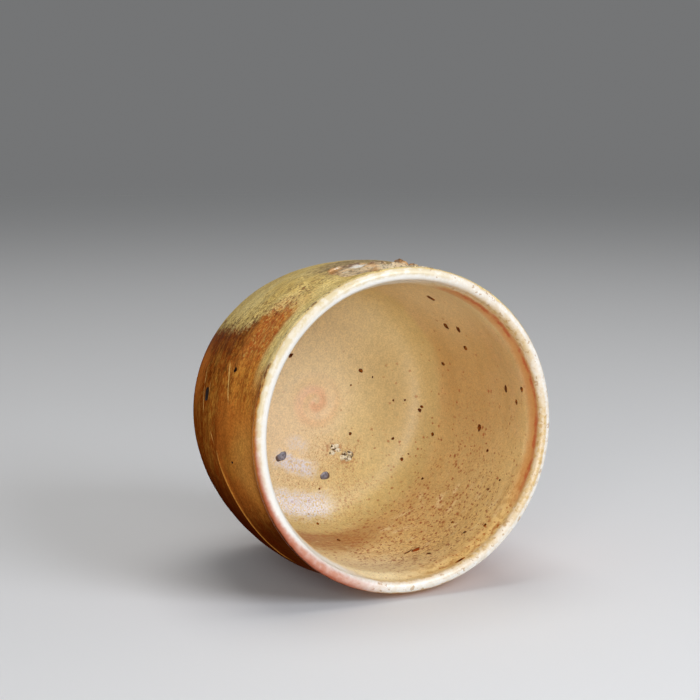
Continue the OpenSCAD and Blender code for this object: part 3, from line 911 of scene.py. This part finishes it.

# %% [markdown]
# ## Colour of the outside
# Outside the glaze is amber brown, and olive yellow on the side where ash fell. The two meet at an
# angle that changes with the height, with red flashing above and dark brown below, and the ash is
# streaked round the cup. A band of olive runs on under the lip. Pale lines, painted highlights,
# follow the throwing ridges, and iron peppers the border. Painted shade darkens the side that lay
# against the floor, the strip below the last ridge and the waist under the lip.

# %% Ash glaze: amber
g = effect("ash_colour", (), ("Colour",))
height, angle, turn = place(g, "Height", "Angle", "Turn")
cloud = g.noise(0.09, 5.0, 0.6)
rings = g.noise(0.9, 5.0, 0.65, g.squeezed(0.12, 1.0))
smooth_side = g.between(turn, 264, 300, 8) * g.step(height, 42, 50)
worked = 1 - smooth_side * 0.7
darker_side = g.step(angle, -102, -68) * g.step(angle, 40, 0) * g.step(height, 62, 54)
# Red glaze under the lip on the lower side, with painted shade in the waist
red_neck_and_shade = g.between(g.shaken(turn, 0.2, 10), 284, 345, 12) * g.step(height, 60.5, 65)
past_ridge = turn - RIDGE_START
ridge_z = RIDGE_LOW + past_ridge * (RIDGE_CLIMB - past_ridge * RIDGE_LEVEL)
above_ridge = g.shaken(height, 0.3, 0.6) - ridge_z
soot = g.between(turn, 226, 262, 8) * g.between(height, 20, 54, 6)
amber = g.lay(
    g.shade(g.step(g.shaken(height, 0.1, 12), 28, 66), "#8c3e0a", "#c97e34"),
    (g.step(cloud, 0.45, 0.7), 0.45, "#d0963c"),
    (g.step(rings, 0.46, 0.64) * worked, 0.5, "#7e3206"),
    (g.blots(0.8, 0.5, worked, 1.5), 0.35, "#c89440"),
    (g.blots(0.9, 0.5, worked, 1.5, g.moved(0, 60, 0)), 0.45, "#7c340c"),
    (darker_side, 0.45, "#6e2c06"),
    (patch(g, 282, 41, 61, 9, 7, 0.4, 0.1, 0.5), 0.5, "#c08a44"),
    (patch(g, 254, 40, 21, 9, 6, 0.6, 0.2, 0.5), 0.75, "#c87430"),
    (red_neck_and_shade, 0.7, "#843a1a"),
    # Painted shade: near black on the side that lay against the floor
    (g.between(g.shaken(angle, 0.1, 20), -58, -5, 13), 0.9, "#420f01"),
    # Painted shade on the wall below the last ridge
    (g.step(above_ridge, -0.2, -1.6) * g.between(past_ridge, 19, 76, 10), 0.7, "#431203"),
    (g.blots(0.5, 0.52, soot, 1.2), 0.5, "#4e2206"))

# %% Ash glaze: olive and the border
streaks = g.noise(1.6, 4.0, 0.6, g.squeezed(0.3, 1.0))
olive = g.lay(
    g.shade(g.step(cloud, 0.35, 0.7), "#dcbe70", "#f0d890"),
    (g.step(streaks, 0.48, 0.64), 0.47, "#a67c36"),
    (g.step(rings, 0.5, 0.66), 0.3, "#c0a654"),
    (g.step(height, 63, 67), 0.5, "#f8e6ac"))
border = 224 + g.step(height, 57, 43) * 13.5
past = g.shaken(g.shaken(turn, 0.3, 9), 1.5, 14) - border
under_lip = g.step(g.shaken(height, 0.3, 3), 59.5, 62) * g.step(g.shaken(turn, 0.3, 8), 258, 243)
back_edge = g.shaken(g.shaken(turn, 0.06, 45), 0.9, 16) + height * 0.35
ash = (g.step(past, 2, -2) | under_lip) * g.step(back_edge, 128, 142)
flash = g.between(past, -8, 22, 7) * g.between(g.shaken(height, 0.3, 5), 51, 61, 2.5)
beside_lip = g.between(g.shaken(turn, 0.3, 8), 246, 268, 5) * g.step(height, 60, 65)
flash = flash | beside_lip | g.between(back_edge, 110, 134, 8) * 0.8
dark = g.between(past, -1, 9, 4) * g.step(g.shaken(height, 0.3, 6), 54, 46)
blotched = g.between(past, -8, 7, 4) * g.step(height, 57, 46)
colour = g.lay(
    g.mix(ash, amber, olive),
    (flash, 0.3, "#b8703c"),
    (g.blots(0.8, 0.5, flash, 1.2), 0.55, "#a44a1c"),
    (g.blots(1.0, 0.54, flash, 1.3, g.moved(0, 0, 40)), 0.6, "#cfa458"),
    (dark, 0.5, "#6a2e08"),
    (g.blots(0.8, 0.54, blotched, 1.2), 0.6, "#4a1e06"))
charred = g.shade(g.step(g.noise(0.9, 4.0, 0.65), 0.4, 0.6), "#5e4630", "#a8906c")
colour = g.mix(patch(g, 189, 42, 50, 12, 9, 1.0, 0.35, 0.4) * 0.75, colour, charred)

# %% Ash glaze: pale lines and pepper
# Pale lines, painted highlights along throwing ridges, as (start angle, height there, climb a
# degree, span, half width)
LINES = ((247, 46.0, 0.36, 17, 0.55), (252, 27.8, 0.33, 18, 0.55), (273, 39.8, 0.4, 6, 0.4),
         (280, 45.0, 0.2, 5, 0.4), (256, 36.0, 0.0, 9, 0.3))
for start, low, climb, length, half in LINES:
    line_mask = g.use(drifting_line, Spot=g.spot, Turn=turn, Height=height, Start=start, Start_height=low,
                      Climb=climb, Span=length, Half_width=half)["Mask"]
    colour = g.lay(colour, (line_mask, 0.9, "#f0bc6c"))
# A painted highlight along the top of the last ridge
ridge_highlight = g.step(abs(above_ridge), 0.75, 0.1) * g.between(past_ridge, 11, 56, 4)
stippled = g.between(past, -22, 3, 7) * g.between(height, 38, 61, 5)
beside = g.between(past, -6, 5, 3) * g.step(height, 60, 54)
dashed = g.between(height, 67.4, 69.4, 0.5) * g.between(turn, 188, 264, 5)
# Kinds of pepper as (where, cells a millimetre, rarity, strength, length round the cup)
PEPPER = ((stippled, 1.5, 0.56, 0.6, 1.2), (beside, 1.0, 0.56, 0.7, 1.2), (stippled, 0.8, 0.58, 0.7, 1.3),
          (dashed, 0.45, 0.53, 0.7, 1.0), (ash, 1.0, 0.61, 0.55, 1.4), (0.6, 0.9, 0.56, 0.55, 1.2))
iron = g.most(g.blots(grain, rare, where, longer) * strength
              for where, grain, rare, strength, longer in PEPPER)
colour = g.lay(colour, (ridge_highlight, 0.8, "#dc9440"), (iron, 1.0, "#6a3210"))
ash_colour = g.close(Colour=g.grainy(g.grainy(colour, 0.6, 0.08), 2.0, 0.2))

# %% [markdown]
# ## The white lip
# The lip was dipped in white. It is thick and white on the crest, cream where it thins inside,
# and pink where it lies thin over red clay. Inside it ends in a line of orange that sinks away
# from the crest on one side. The group gives each of these as a mask.

# %% The lip's edge, cream and orange line
g = effect("lip_cover", (), ("Inside", "Outside", "Cool", "Ivory", "Pink", "Red", "Orange", "Glow", "Cream",
                             "Fringe", "Mottle", "Stain"))
height, reach, angle, turn = place(g, "Height", "Reach", "Angle", "Turn")
fine_wave = (g.noise(0.35, 4.0, 0.6) - 0.5) * 1.3
sinking = g.step(turn, 82, 184) * g.step(turn, 358, 335)
white_edge = 68.5 - sinking * 3.0 - g.between(angle, -18, 52, 12) * 0.4
rise = height - white_edge + fine_wave
outer_rise = height + fine_wave
cool_side = g.between(turn, 178, 340, 15)
# Wide cream as (first angle, last angle, softness, where it starts and is full above the edge)
CREAM = ((116, 160, 14, 3.7, 1.8), (18, 50, 12, 2.6, 0.9), (50, 106, 16, 4.4, 2.0))
wide_cream = g.most(g.between(angle, first, last, soft) * g.step(rise, top, full)
                    for first, last, soft, top, full in CREAM)
cream = (g.step(rise, 1.9, 0.2) | wide_cream) * (1 - cool_side)
cream = cream * (0.72 + 0.28 * g.step(g.noise(0.8, 4.0, 0.6), 0.42, 0.58))
window = g.step(angle, 52, 76) * g.step(angle, 172, 158)
off_line = abs(g.shaken(g.shaken(rise, 0.3, 1.4), 1.8, 1.6) + 0.5)
gaps = 0.35 + 0.65 * g.step(g.noise(0.3, 4.0), 0.4, 0.6)

# %% The lip's pink, ivory with painted shade, and stains
past_crest = g.shaken(reach, 0.8, 0.9) - (lip_r - LIP_T / 2)
blush = g.between(turn, 276, 347, 12)
blush_from = 1.0 - g.step(turn, 285, 330) * 2.2
patchy = 0.75 + 0.25 * g.step(g.noise(0.6, 4.0), 0.35, 0.6)
thin_red = g.between(turn, 268, 347, 8) * g.step(past_crest, 0.7, 1.5)
# Painted shade: a darker ivory over the crest on the top side, laid over the white's own ivory
wide_ivory_and_shade = g.between(turn, 165, 228, 14) * g.step(past_crest, -0.9, 0.0) * 0.85
thin_ivory = g.between(turn, 182, 285, 15) * g.step(past_crest, -0.4, 0.6)
cloudy = 0.5 + 0.5 * g.step(g.noise(0.45, 4.0, 0.6), 0.4, 0.58)
mottle = g.step(g.noise(0.4, 5.0, 0.65), 0.42, 0.64) | g.step(g.noise(1.1, 4.0, 0.6), 0.46, 0.6) * 0.7
near_line = g.step(abs(rise - 0.8), 1.3, 0.4) * g.between(angle, 20, 168, 12)
stain = g.blots(0.7, 0.6, 1 - cool_side * 0.4) | g.blots(0.6, 0.54, cream) * 0.6
stain = stain | g.blots(0.55, 0.57, near_line, spot=g.moved(30, 0, 0))
lip_cover = g.close(
    Inside=g.step(rise, -0.7, 0.7),
    Outside=g.step(outer_rise, 68.8, 69.3),
    Cool=cool_side * g.step(reach, lip_r - 1.7, lip_r - 2.6),
    Ivory=(wide_ivory_and_shade | thin_ivory) * cloudy,
    Pink=blush * patchy * g.step(past_crest - blush_from, -0.6, 0.9),
    Red=thin_red | blush * g.step(past_crest, -0.2, 1.6),
    Orange=g.step(off_line, 1.0, 0.1) * window * gaps,
    Glow=g.step(abs(rise + 1.3), 2.8, 0.2) * window,
    Cream=cream,
    Fringe=g.step(outer_rise, 69.6, 69.0),
    Mottle=mottle * (1 - cool_side * 0.6),
    Stain=stain)

# %% [markdown]
# ## Finishes
# Each finish is one Principled shader. Colour, roughness and bump come from the groups above. The
# lip's finish takes the liner's colours inside and the ash glaze's outside, and lays the white
# over them, so no seam shows where two coats meet.

# %% Finish helpers


def finish(name, piece, **plain):
    """The graph of a new finish on a piece, with plain values on the sockets of its shader."""
    material = bpy.data.materials.new(name)
    material.use_nodes = True
    piece.data.materials.append(material)
    graph = Graph(material.node_tree)
    graph.shader = material.node_tree.nodes["Principled BSDF"]
    for key, value in plain.items():
        graph.shader.inputs[key.replace("_", " ")].default_value = value
    return graph


def dress(graph, height, depth_mm, **fields):
    """Feeds the shader's sockets, and lets a height of 1 stand depth_mm above the surface."""
    normal = graph.fill(graph.add("Bump"), {"Height": height, "Distance": depth_mm * MM, "Strength": 1.0})
    for key, value in {**fields, "Normal": normal}.items():
        graph.feed(graph.shader.inputs[key.replace("_", " ")], value)


def lay_white(graph, colour, cover, where, edge):
    """White over a colour: mottled, cream towards its edge, with ochre stains, and pink to red where
    it lies thin over red clay."""
    white = graph.lay(
        paint("#f5f1e9"),
        (cover["Mottle"], 0.5, "#e2cfb0"), (cover["Cool"], 1.0, "#f3f1ea"), (cover["Ivory"], 0.8, "#d4c08e"),
        (edge, 0.88, "#d3b06c"), (cover["Stain"], 0.6, "#ae8038"), (cover["Pink"], 0.95, "#ca8a70"),
        (cover["Red"], 0.85, "#b85c3c"))
    return graph.mix(where, colour, white)


def lay_inside(graph, colour, cover):
    """White over the liner's colour, with the orange line and its glow along the white's edge."""
    colour = graph.lay(colour, (cover["Glow"], 0.6, "#c27438"))
    colour = lay_white(graph, colour, cover, cover["Inside"], cover["Cream"])
    return graph.lay(colour, (cover["Glow"] * cover["Cream"], 0.5, "#c88c4c"),
                     (cover["Orange"], 0.85, "#b8522a"))


# %% Liner, ash glaze and lip finishes
g = finish("liner_glaze", liner, Specular_IOR_Level=0.8)
place(g)
own, cover = g.use(liner_colour), g.use(lip_cover)
sparkle = g.noise(1.3, 3.0, 0.6) * own["Shine"] * 1.4
dress(g, peeled(g, 0.5, 0.35) - own["Iron"] * 0.05 + sparkle, 0.18,
      Base_Color=lay_inside(g, own["Colour"], cover),
      Roughness=0.44 + 0.16 * g.noise(0.5, 3.0) - own["Shine"] * 0.36)

g = finish("ash_glaze", ash_coat, Specular_IOR_Level=0.0, Coat_Roughness=0.32)
(angle,) = place(g, "Angle")
own, cover = g.use(ash_colour), g.use(lip_cover)
dry_side = g.between(angle, -125, -10, 25)
dress(g, peeled(g, 0.8, 0.4), 0.25,
      Base_Color=lay_white(g, own["Colour"], cover, cover["Outside"], cover["Fringe"]),
      Coat_Weight=(1 - dry_side) * 0.5,
      Roughness=0.4 + 0.3 * g.noise(0.6, 4.0))

g = finish("white_lip_glaze", lip, Specular_IOR_Level=0.03, Coat_Roughness=0.28)
height, reach = place(g, "Height", "Reach")
inner, outer, cover = g.use(liner_colour), g.use(ash_colour), g.use(lip_cover)
within = lay_inside(g, inner["Colour"], cover)
without = lay_white(g, outer["Colour"], cover, cover["Outside"], cover["Fringe"])
on_crest = g.step(height, 68.4, 69.4) * g.step(reach, lip_r - 0.4, lip_r - 1.2)
dress(g, peeled(g, 0.5, 0.3), 0.2,
      Base_Color=g.mix(g.step(reach, lip_r - 1.9, lip_r - 1.3), within, without),
      Coat_Weight=on_crest | g.step(reach, lip_r - 1.8, lip_r - 2.4),
      Roughness=0.2 + 0.2 * g.noise(0.5, 3.0))

# %% Clay and crust finishes


def clay_finish(name, piece, dark, light):
    """Bare fired clay: cloudy, gritty and dull, with dark and pale grains."""
    g = finish(name, piece, Roughness=0.82)
    place(g)
    cloud, sand, grit = g.noise(0.12, 4.0), g.noise(2.2, 5.0, 0.7), dots(g, 0.9, 0.25, 0.25)
    colour = g.lay(g.shade(g.step(cloud, 0.3, 0.7), dark, light),
                   (g.step(sand, 0.5, 0.7), 0.35, "#5d3a20"), (grit, 0.6, "#e3cda6"))
    dress(g, sand + grit * 0.4, 0.16, Base_Color=colour)


clay_finish("fired_clay", clay, "#8a5a36", "#b07c4e")
clay_finish("bare_foot_clay", foot, "#7d4d2c", "#a87145")

g = finish("ash_crust", crust, Specular_IOR_Level=0.5)
place(g)
runs = g.noise(0.6, 4.0, 0.6, g.squeezed(0.4, 1.0))
fine = g.noise(1.2, 4.0, 0.6)
colour = g.lay(
    g.shade(g.step(runs, 0.4, 0.6), "#6e4e30", "#cdb083"),
    (g.step(g.noise(0.22, 3.0), 0.46, 0.6), 0.7, "#ba8038"),
    (g.step(runs, 0.56, 0.66), 0.85, "#efe4cc"),
    (patch(g, 178, 42, 58.5, 7, 4, 0.8, 0.4, 0.4), 0.55, "#e8d8b4"),
    (patch(g, 196, 42, 57.5, 5, 4, 0.8, 0.4, 0.4), 0.5, "#dcc8a0"),
    (g.step(fine, 0.46, 0.36), 0.75, "#3c2614"),
    (patch(g, 192, 42, 54.5, 2.6, 1.2, 0.8, 0.6, 0.4), 1.0, "#f2ece0"))
dress(g, runs * 0.5 + fine, 0.14, Base_Color=colour, Roughness=0.25 + 0.4 * fine)

# %% Stone and iron finishes
g = finish("feldspar_stone", stones, Specular_IOR_Level=0.5)
place(g)
mottle = g.noise(2.4, 3.0)
# Dark brown in the hollows between grains: the pits' own brown with painted shade
hollow = g.step(g.noise(0.75), 0.53, 0.6)
colour = g.lay(g.shade(g.step(mottle, 0.35, 0.65), "#c9b98e", "#f8f2e2"), (hollow, 1.0, "#54381a"))
dress(g, mottle - hollow, 0.2, Base_Color=colour, Roughness=0.15 + 0.3 * mottle)

CORE_SHARE = 0.21
g = finish("iron_slag", drops, Specular_IOR_Level=0.6)
place(g)
film = g.noise(1.3, 3.0)
blue_grey = g.shade(g.step(film, 0.35, 0.65), "#666470", "#9694a0")
colour = paint("#543c2e")
for angle, r, wide, long in (drop[:4] for drop in DROPS):
    core = patch(g, angle, r, floor_z, (wide + long) * CORE_SHARE, 2.0, 0.6, 0.8, 0.3)
    colour = g.mix(core, colour, blue_grey)
dress(g, film, 0.1, Base_Color=colour, Roughness=0.2 + 0.25 * film)

g = finish("iron_specks", specks, Specular_IOR_Level=0.05)
(reach,) = place(g, "Reach")
rust = g.noise(0.8, 3.0)
colour = g.lay(
    g.shade(g.step(rust, 0.45, 0.62), "#58280c", "#96541c"),
    (patch(g, 24.4, 39, 48, 1.6, 1.2, 0.3, 0.5, 0.2), 0.8, "#a8481c"),
    (g.step(reach, 39.8, 40.6), 1.0, "#1c0803"))
dress(g, rust, 0.06, Base_Color=colour, Roughness=0.35 + 0.3 * rust)
print("finishes:", ", ".join(sorted(material.name for material in bpy.data.materials if material.users)))

# %% [markdown]
# ## Studio
# The floor is a plain pale plane, laid where the belly touches it, with the cup on its side. It is
# one-sided and fades out, so that from any other side it hides nothing. A soft lamp stands to the
# right of the camera and above it. Wider ones fill in from the front, the left and above, and one
# lights the far side.

# %% Floor
FLOOR_PITCH = math.radians(9.5)
FLOOR_HALF, FLOOR_STEPS = 1600.0, 24
FADE_FROM, FADE_TO = 500.0, 1500.0
PALE = (0.78, 0.785, 0.79, 1.0)

stage_up = lens_axes @ np.array([0, math.cos(FLOOR_PITCH), math.sin(FLOOR_PITCH)])
stage_right = lens_axes @ np.array([1.0, 0, 0])
stage_front = np.cross(stage_right, stage_up)
lowest = min(float((face.reshape(-1, 3) @ stage_up).min()) for face in (ash_face, lip_face)) / MM
cup_middle = np.array([0, 0, cup_h / 2])
floor_middle = cup_middle + stage_up * (lowest - cup_middle @ stage_up)


def floor_grid(steps):
    """Square grid middle + a * right + b * front, for a and b from -half to half."""
    side = np.linspace(-FLOOR_HALF, FLOOR_HALF, steps)
    a, b = np.meshgrid(side, side, indexing="ij")
    return (floor_middle + a[..., None] * stage_right + b[..., None] * stage_front) * MM


number = np.arange(FLOOR_STEPS ** 2).reshape(FLOOR_STEPS, FLOOR_STEPS)
tiles = np.stack([number[:-1, :-1], number[:-1, 1:], number[1:, 1:], number[1:, :-1]], -1).reshape(-1, 4)
floor_mesh = bpy.data.meshes.new("floor")
floor_mesh.from_pydata(floor_grid(FLOOR_STEPS).reshape(-1, 3).tolist(), [], tiles.tolist())
if Vector(stage_up).dot(floor_mesh.polygons[0].normal) < 0:
    floor_mesh.flip_normals()
floor = show("floor", floor_mesh)
print("floor", round(lowest, 2), "mm from the origin along", stage_up.round(3))

# %% Floor finish
g = finish("pale_floor", floor, Base_Color=PALE, Roughness=0.9, Specular_IOR_Level=0.1)
away = g.vector("LENGTH", g.vector("SUBTRACT", g.millimetres(), tuple(floor_middle)))
rays = g.add("LightPath").outputs
seen = g.most(Field(g, rays[f"Is {kind} Ray"]) for kind in ("Camera", "Glossy", "Transmission"))
front = 1 - Field(g, g.add("NewGeometry").outputs["Backfacing"])
solid = g.step(away, FADE_TO, FADE_FROM) * front * seen
clear = Field(g, g.add("BsdfTransparent").outputs[0])
surface = g.fill(g.add("MixShader"), {0: solid, 1: clear, 2: Field(g, g.shader.outputs[0])})
g.feed(g.tree.nodes["Material Output"].inputs["Surface"], surface)
print("the floor fades out from", FADE_FROM, "to", FADE_TO, "mm away")

# %% Lamps and world
WHITE = (1.0, 0.98, 0.96)
# Lamps as (name, direction as right, up and back of the camera, distance, side, power, colour)
LAMPS = (("key", (0.67, 0.38, 0.64), 650, 300, 2.2, (0.93, 0.97, 1.05)),
         ("front", (-0.05, 0.0, 1.0), 800, 500, 3.8, WHITE),
         ("left", (-0.6, -0.45, 0.66), 800, 500, 1.0, WHITE),
         ("top", (0.0, 1.0, 0.05), 800, 500, 2.5, WHITE),
         ("far_side", (0.6, -0.5, -0.6), 800, 500, 3.0, WHITE))


def lamp(name, toward, away_mm, side_mm, power, colour):
    """A square soft lamp that faces the cup's middle."""
    data = bpy.data.lights.new(name, "AREA")
    data.size = side_mm * MM
    data.energy = power
    data.color = colour
    made = show(name, data)
    aim = Vector(lens_axes @ np.array(toward)).normalized()
    made.location = Vector(cup_middle * MM) + aim * away_mm * MM
    made.rotation_euler = aim.to_track_quat("Z", "Y").to_euler()


for row in LAMPS:
    lamp(*row)

world = bpy.data.worlds.new("studio")
world.use_nodes = True
background = world.node_tree.nodes["Background"].inputs
background["Color"].default_value = (0.97, 0.985, 1.0, 1.0)
background["Strength"].default_value = 0.18
bpy.context.scene.world = world
bpy.context.scene.view_settings.view_transform = "Standard"
print(len(LAMPS), "lamps and a pale world")
